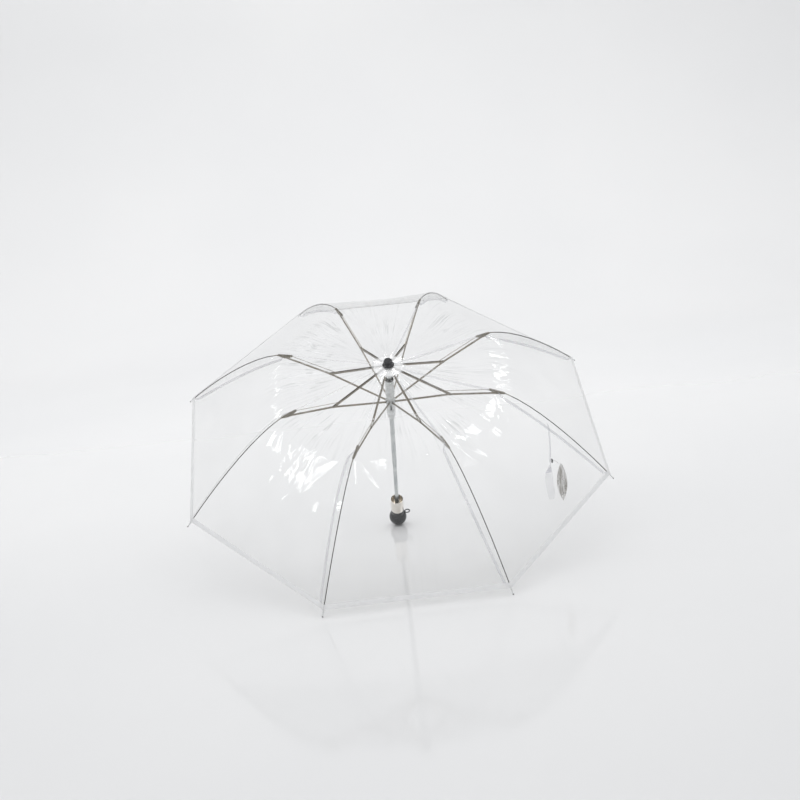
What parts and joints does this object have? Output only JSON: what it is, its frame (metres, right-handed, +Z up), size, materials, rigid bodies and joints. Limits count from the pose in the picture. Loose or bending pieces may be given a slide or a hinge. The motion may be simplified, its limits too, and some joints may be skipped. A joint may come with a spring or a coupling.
{
  "type": "folding umbrella",
  "caption": "Folding umbrella with a clear film canopy on hinged steel ribs, a sliding runner, a telescoping shaft and a ball handle, standing open on two rib tips and the handle.",
  "frame": {"origin": "centre of the footprint box, on the surface that the open umbrella stands on", "axes": "+Z up; the shaft lies in the YZ plane and leans 33.0 degrees from upright, its cap towards -Y; +X to the right as seen from -Y, where the canopy's outside faces"},
  "size_m": [0.8714, 0.731, 0.5246],
  "materials": {
    "steel_rib": "satin",
    "knuckle_steel": "satin",
    "shaft_steel": "satin",
    "nickel": "polished",
    "black_plastic": "gloss",
    "clear_moulding": "satin",
    "film": "gloss",
    "silver_label": "satin"
  },
  "bodies": {
    "shaft": {"upper_tube": "shaft_steel", "crown_notch": "clear_moulding", "crown_wire": "steel_rib", "top_cap": "black_plastic", "runner_stop_pin": "shaft_steel", "canopy": "film"},
    "handle": {"lower_tube": "shaft_steel", "handle_cup": "nickel", "handle_ball": "black_plastic", "handle_rivet": "black_plastic", "lanyard_loop": "black_plastic"},
    "telescope_button": {"telescope_button": "shaft_steel"},
    "open_catch": {"open_catch": "shaft_steel"},
    "runner": {"runner": "clear_moulding", "runner_wire": "steel_rib", "runner_ferrule": "shaft_steel"},
    "crown_rib_1": {"crown_rib_1": "steel_rib"},
    "main_rib_1": {"main_rib_1": "steel_rib"},
    "link_wire_1": {"link_wire_1": "steel_rib"},
    "outer_rib_1": {"outer_rib_1": "knuckle_steel", "tip_cap_1": "clear_moulding"},
    "crown_rib_2": {"crown_rib_2": "steel_rib"},
    "main_rib_2": {"main_rib_2": "steel_rib"},
    "link_wire_2": {"link_wire_2": "steel_rib"},
    "outer_rib_2": {"outer_rib_2": "knuckle_steel", "tip_cap_2": "clear_moulding"},
    "crown_rib_3": {"crown_rib_3": "steel_rib"},
    "main_rib_3": {"main_rib_3": "steel_rib"},
    "link_wire_3": {"link_wire_3": "steel_rib"},
    "outer_rib_3": {"outer_rib_3": "knuckle_steel", "tip_cap_3": "clear_moulding"},
    "crown_rib_4": {"crown_rib_4": "steel_rib"},
    "main_rib_4": {"main_rib_4": "steel_rib"},
    "link_wire_4": {"link_wire_4": "steel_rib"},
    "outer_rib_4": {"outer_rib_4": "knuckle_steel", "tip_cap_4": "clear_moulding", "closure_strap": "film", "snap_stud": "black_plastic", "label_tag": "silver_label"},
    "crown_rib_5": {"crown_rib_5": "steel_rib"},
    "main_rib_5": {"main_rib_5": "steel_rib"},
    "link_wire_5": {"link_wire_5": "steel_rib"},
    "outer_rib_5": {"outer_rib_5": "knuckle_steel", "tip_cap_5": "clear_moulding"},
    "crown_rib_6": {"crown_rib_6": "steel_rib"},
    "main_rib_6": {"main_rib_6": "steel_rib"},
    "link_wire_6": {"link_wire_6": "steel_rib"},
    "outer_rib_6": {"outer_rib_6": "knuckle_steel", "tip_cap_6": "clear_moulding"},
    "crown_rib_7": {"crown_rib_7": "steel_rib"},
    "main_rib_7": {"main_rib_7": "steel_rib"},
    "link_wire_7": {"link_wire_7": "steel_rib"},
    "outer_rib_7": {"outer_rib_7": "knuckle_steel", "tip_cap_7": "clear_moulding"},
    "crown_rib_8": {"crown_rib_8": "steel_rib"},
    "main_rib_8": {"main_rib_8": "steel_rib"},
    "link_wire_8": {"link_wire_8": "steel_rib"},
    "outer_rib_8": {"outer_rib_8": "knuckle_steel", "tip_cap_8": "clear_moulding"}
  },
  "joints": [
    {"name": "canopy_fold", "type": "hinge", "parent": "shaft", "child": "crown_rib_1", "pos_m": [-0.00785, -0.11698, 0.41215], "axis": [0.3827, -0.7747, -0.5034], "range_deg": [0, 60.4], "deforming": ["canopy", "closure_strap", "snap_stud", "label_tag", "open_catch"]},
    {"name": "main_hinge_1", "type": "hinge", "parent": "crown_rib_1", "child": "main_rib_1", "pos_m": [-0.11807, -0.12911, 0.34702], "axis": [0.3827, -0.7747, -0.5034], "range_deg": [-120.8, 0]},
    {"name": "link_hinge_1", "type": "hinge", "parent": "crown_rib_1", "child": "link_wire_1", "pos_m": [-0.10436, -0.1276, 0.35513], "axis": [0.3827, -0.7747, -0.5034], "range_deg": [-120.8, 0]},
    {"name": "knee_hinge_1", "type": "hinge", "parent": "main_rib_1", "child": "outer_rib_1", "pos_m": [-0.20649, -0.17388, 0.3487], "axis": [0.3827, -0.7747, -0.5034], "range_deg": [0, 120.8]},
    {"name": "runner_hinge", "type": "hinge", "parent": "main_rib_1", "child": "runner", "pos_m": [-0.00785, -0.06467, 0.33165], "axis": [0.3827, -0.7747, -0.5034], "range_deg": [0, 60.4]},
    {"name": "crown_hinge_2", "type": "hinge", "parent": "shaft", "child": "crown_rib_2", "pos_m": [-0.00325, -0.12083, 0.40964], "axis": [0.9239, -0.3209, -0.2085], "range_deg": [0, 60.4]},
    {"name": "main_hinge_2", "type": "hinge", "parent": "crown_rib_2", "child": "main_rib_2", "pos_m": [-0.04891, -0.18711, 0.30934], "axis": [0.9239, -0.3209, -0.2085], "range_deg": [-120.8, 0]},
    {"name": "link_hinge_2", "type": "hinge", "parent": "crown_rib_2", "child": "link_wire_2", "pos_m": [-0.04323, -0.17886, 0.32182], "axis": [0.9239, -0.3209, -0.2085], "range_deg": [-120.8, 0]},
    {"name": "knee_hinge_2", "type": "hinge", "parent": "main_rib_2", "child": "outer_rib_2", "pos_m": [-0.08553, -0.2753, 0.2828], "axis": [0.9239, -0.3209, -0.2085], "range_deg": [0, 120.8]},
    {"name": "crown_hinge_3", "type": "hinge", "parent": "shaft", "child": "crown_rib_3", "pos_m": [0.00325, -0.12083, 0.40964], "axis": [0.9239, 0.3209, 0.2085], "range_deg": [0, 60.4]},
    {"name": "main_hinge_3", "type": "hinge", "parent": "crown_rib_3", "child": "main_rib_3", "pos_m": [0.04891, -0.18711, 0.30934], "axis": [0.9239, 0.3209, 0.2085], "range_deg": [-120.8, 0]},
    {"name": "link_hinge_3", "type": "hinge", "parent": "crown_rib_3", "child": "link_wire_3", "pos_m": [0.04323, -0.17886, 0.32182], "axis": [0.9239, 0.3209, 0.2085], "range_deg": [-120.8, 0]},
    {"name": "knee_hinge_3", "type": "hinge", "parent": "main_rib_3", "child": "outer_rib_3", "pos_m": [0.08553, -0.2753, 0.2828], "axis": [0.9239, 0.3209, 0.2085], "range_deg": [0, 120.8]},
    {"name": "crown_hinge_4", "type": "hinge", "parent": "shaft", "child": "crown_rib_4", "pos_m": [0.00785, -0.11698, 0.41215], "axis": [0.3827, 0.7747, 0.5034], "range_deg": [0, 60.4]},
    {"name": "main_hinge_4", "type": "hinge", "parent": "crown_rib_4", "child": "main_rib_4", "pos_m": [0.11807, -0.12911, 0.34702], "axis": [0.3827, 0.7747, 0.5034], "range_deg": [-120.8, 0]},
    {"name": "link_hinge_4", "type": "hinge", "parent": "crown_rib_4", "child": "link_wire_4", "pos_m": [0.10436, -0.1276, 0.35513], "axis": [0.3827, 0.7747, 0.5034], "range_deg": [-120.8, 0]},
    {"name": "knee_hinge_4", "type": "hinge", "parent": "main_rib_4", "child": "outer_rib_4", "pos_m": [0.20649, -0.17388, 0.3487], "axis": [0.3827, 0.7747, 0.5034], "range_deg": [0, 120.8]},
    {"name": "crown_hinge_5", "type": "hinge", "parent": "shaft", "child": "crown_rib_5", "pos_m": [0.00785, -0.11152, 0.41569], "axis": [-0.3827, 0.7747, 0.5034], "range_deg": [0, 60.4]},
    {"name": "main_hinge_5", "type": "hinge", "parent": "crown_rib_5", "child": "main_rib_5", "pos_m": [0.11807, -0.04709, 0.40031], "axis": [-0.3827, 0.7747, 0.5034], "range_deg": [-120.8, 0]},
    {"name": "link_hinge_5", "type": "hinge", "parent": "crown_rib_5", "child": "link_wire_5", "pos_m": [0.10436, -0.0551, 0.40223], "axis": [-0.3827, 0.7747, 0.5034], "range_deg": [-120.8, 0]},
    {"name": "knee_hinge_5", "type": "hinge", "parent": "main_rib_5", "child": "outer_rib_5", "pos_m": [0.20649, -0.03043, 0.4419], "axis": [-0.3827, 0.7747, 0.5034], "range_deg": [0, 120.8]},
    {"name": "crown_hinge_6", "type": "hinge", "parent": "shaft", "child": "crown_rib_6", "pos_m": [0.00325, -0.10766, 0.4182], "axis": [-0.9239, 0.3209, 0.2085], "range_deg": [0, 60.4]},
    {"name": "main_hinge_6", "type": "hinge", "parent": "crown_rib_6", "child": "main_rib_6", "pos_m": [0.04891, 0.01091, 0.438], "axis": [-0.9239, 0.3209, 0.2085], "range_deg": [-120.8, 0]},
    {"name": "link_hinge_6", "type": "hinge", "parent": "crown_rib_6", "child": "link_wire_6", "pos_m": [0.04323, -0.00384, 0.43553], "axis": [-0.9239, 0.3209, 0.2085], "range_deg": [-120.8, 0]},
    {"name": "knee_hinge_6", "type": "hinge", "parent": "main_rib_6", "child": "outer_rib_6", "pos_m": [0.08553, 0.071, 0.5078], "axis": [-0.9239, 0.3209, 0.2085], "range_deg": [0, 120.8]},
    {"name": "crown_hinge_7", "type": "hinge", "parent": "shaft", "child": "crown_rib_7", "pos_m": [-0.00325, -0.10766, 0.4182], "axis": [-0.9239, -0.3209, -0.2085], "range_deg": [0, 60.4]},
    {"name": "main_hinge_7", "type": "hinge", "parent": "crown_rib_7", "child": "main_rib_7", "pos_m": [-0.04891, 0.01091, 0.438], "axis": [-0.9239, -0.3209, -0.2085], "range_deg": [-120.8, 0]},
    {"name": "link_hinge_7", "type": "hinge", "parent": "crown_rib_7", "child": "link_wire_7", "pos_m": [-0.04323, -0.00384, 0.43553], "axis": [-0.9239, -0.3209, -0.2085], "range_deg": [-120.8, 0]},
    {"name": "knee_hinge_7", "type": "hinge", "parent": "main_rib_7", "child": "outer_rib_7", "pos_m": [-0.08553, 0.071, 0.5078], "axis": [-0.9239, -0.3209, -0.2085], "range_deg": [0, 120.8]},
    {"name": "crown_hinge_8", "type": "hinge", "parent": "shaft", "child": "crown_rib_8", "pos_m": [-0.00785, -0.11152, 0.41569], "axis": [-0.3827, -0.7747, -0.5034], "range_deg": [0, 60.4]},
    {"name": "main_hinge_8", "type": "hinge", "parent": "crown_rib_8", "child": "main_rib_8", "pos_m": [-0.11807, -0.04709, 0.40031], "axis": [-0.3827, -0.7747, -0.5034], "range_deg": [-120.8, 0]},
    {"name": "link_hinge_8", "type": "hinge", "parent": "crown_rib_8", "child": "link_wire_8", "pos_m": [-0.10436, -0.0551, 0.40223], "axis": [-0.3827, -0.7747, -0.5034], "range_deg": [-120.8, 0]},
    {"name": "knee_hinge_8", "type": "hinge", "parent": "main_rib_8", "child": "outer_rib_8", "pos_m": [-0.20649, -0.03043, 0.4419], "axis": [-0.3827, -0.7747, -0.5034], "range_deg": [0, 120.8]},
    {"name": "telescope_slide", "type": "slide", "parent": "shaft", "child": "handle", "axis": [0, -0.5448, 0.8386], "range_m": [0, 0.0745], "deforming": ["telescope_button"]},
    {"name": "telescope_button_press", "type": "slide", "parent": "handle", "child": "telescope_button", "axis": [0, -0.8386, -0.5448], "range_m": [0, 0.00095]},
    {"name": "open_catch_press", "type": "hinge", "parent": "shaft", "child": "open_catch", "pos_m": [0, -0.04845, 0.31118], "axis": [-1, 0, 0], "range_deg": [0, 7], "stiffness_Nm_per_rad": 0.03}
  ],
  "couplings": [
    {"joint": "main_hinge_1", "follows": "canopy_fold", "ratio": -2},
    {"joint": "link_hinge_1", "follows": "canopy_fold", "ratio": -2},
    {"joint": "knee_hinge_1", "follows": "canopy_fold", "ratio": 2},
    {"joint": "runner_hinge", "follows": "canopy_fold", "ratio": 1},
    {"joint": "crown_hinge_2", "follows": "canopy_fold", "ratio": 1},
    {"joint": "main_hinge_2", "follows": "canopy_fold", "ratio": -2},
    {"joint": "link_hinge_2", "follows": "canopy_fold", "ratio": -2},
    {"joint": "knee_hinge_2", "follows": "canopy_fold", "ratio": 2},
    {"joint": "crown_hinge_3", "follows": "canopy_fold", "ratio": 1},
    {"joint": "main_hinge_3", "follows": "canopy_fold", "ratio": -2},
    {"joint": "link_hinge_3", "follows": "canopy_fold", "ratio": -2},
    {"joint": "knee_hinge_3", "follows": "canopy_fold", "ratio": 2},
    {"joint": "crown_hinge_4", "follows": "canopy_fold", "ratio": 1},
    {"joint": "main_hinge_4", "follows": "canopy_fold", "ratio": -2},
    {"joint": "link_hinge_4", "follows": "canopy_fold", "ratio": -2},
    {"joint": "knee_hinge_4", "follows": "canopy_fold", "ratio": 2},
    {"joint": "crown_hinge_5", "follows": "canopy_fold", "ratio": 1},
    {"joint": "main_hinge_5", "follows": "canopy_fold", "ratio": -2},
    {"joint": "link_hinge_5", "follows": "canopy_fold", "ratio": -2},
    {"joint": "knee_hinge_5", "follows": "canopy_fold", "ratio": 2},
    {"joint": "crown_hinge_6", "follows": "canopy_fold", "ratio": 1},
    {"joint": "main_hinge_6", "follows": "canopy_fold", "ratio": -2},
    {"joint": "link_hinge_6", "follows": "canopy_fold", "ratio": -2},
    {"joint": "knee_hinge_6", "follows": "canopy_fold", "ratio": 2},
    {"joint": "crown_hinge_7", "follows": "canopy_fold", "ratio": 1},
    {"joint": "main_hinge_7", "follows": "canopy_fold", "ratio": -2},
    {"joint": "link_hinge_7", "follows": "canopy_fold", "ratio": -2},
    {"joint": "knee_hinge_7", "follows": "canopy_fold", "ratio": 2},
    {"joint": "crown_hinge_8", "follows": "canopy_fold", "ratio": 1},
    {"joint": "main_hinge_8", "follows": "canopy_fold", "ratio": -2},
    {"joint": "link_hinge_8", "follows": "canopy_fold", "ratio": -2},
    {"joint": "knee_hinge_8", "follows": "canopy_fold", "ratio": 2},
    {"joint": "telescope_button_press", "follows": "telescope_slide", "ratio": 0.012739}
  ]
}
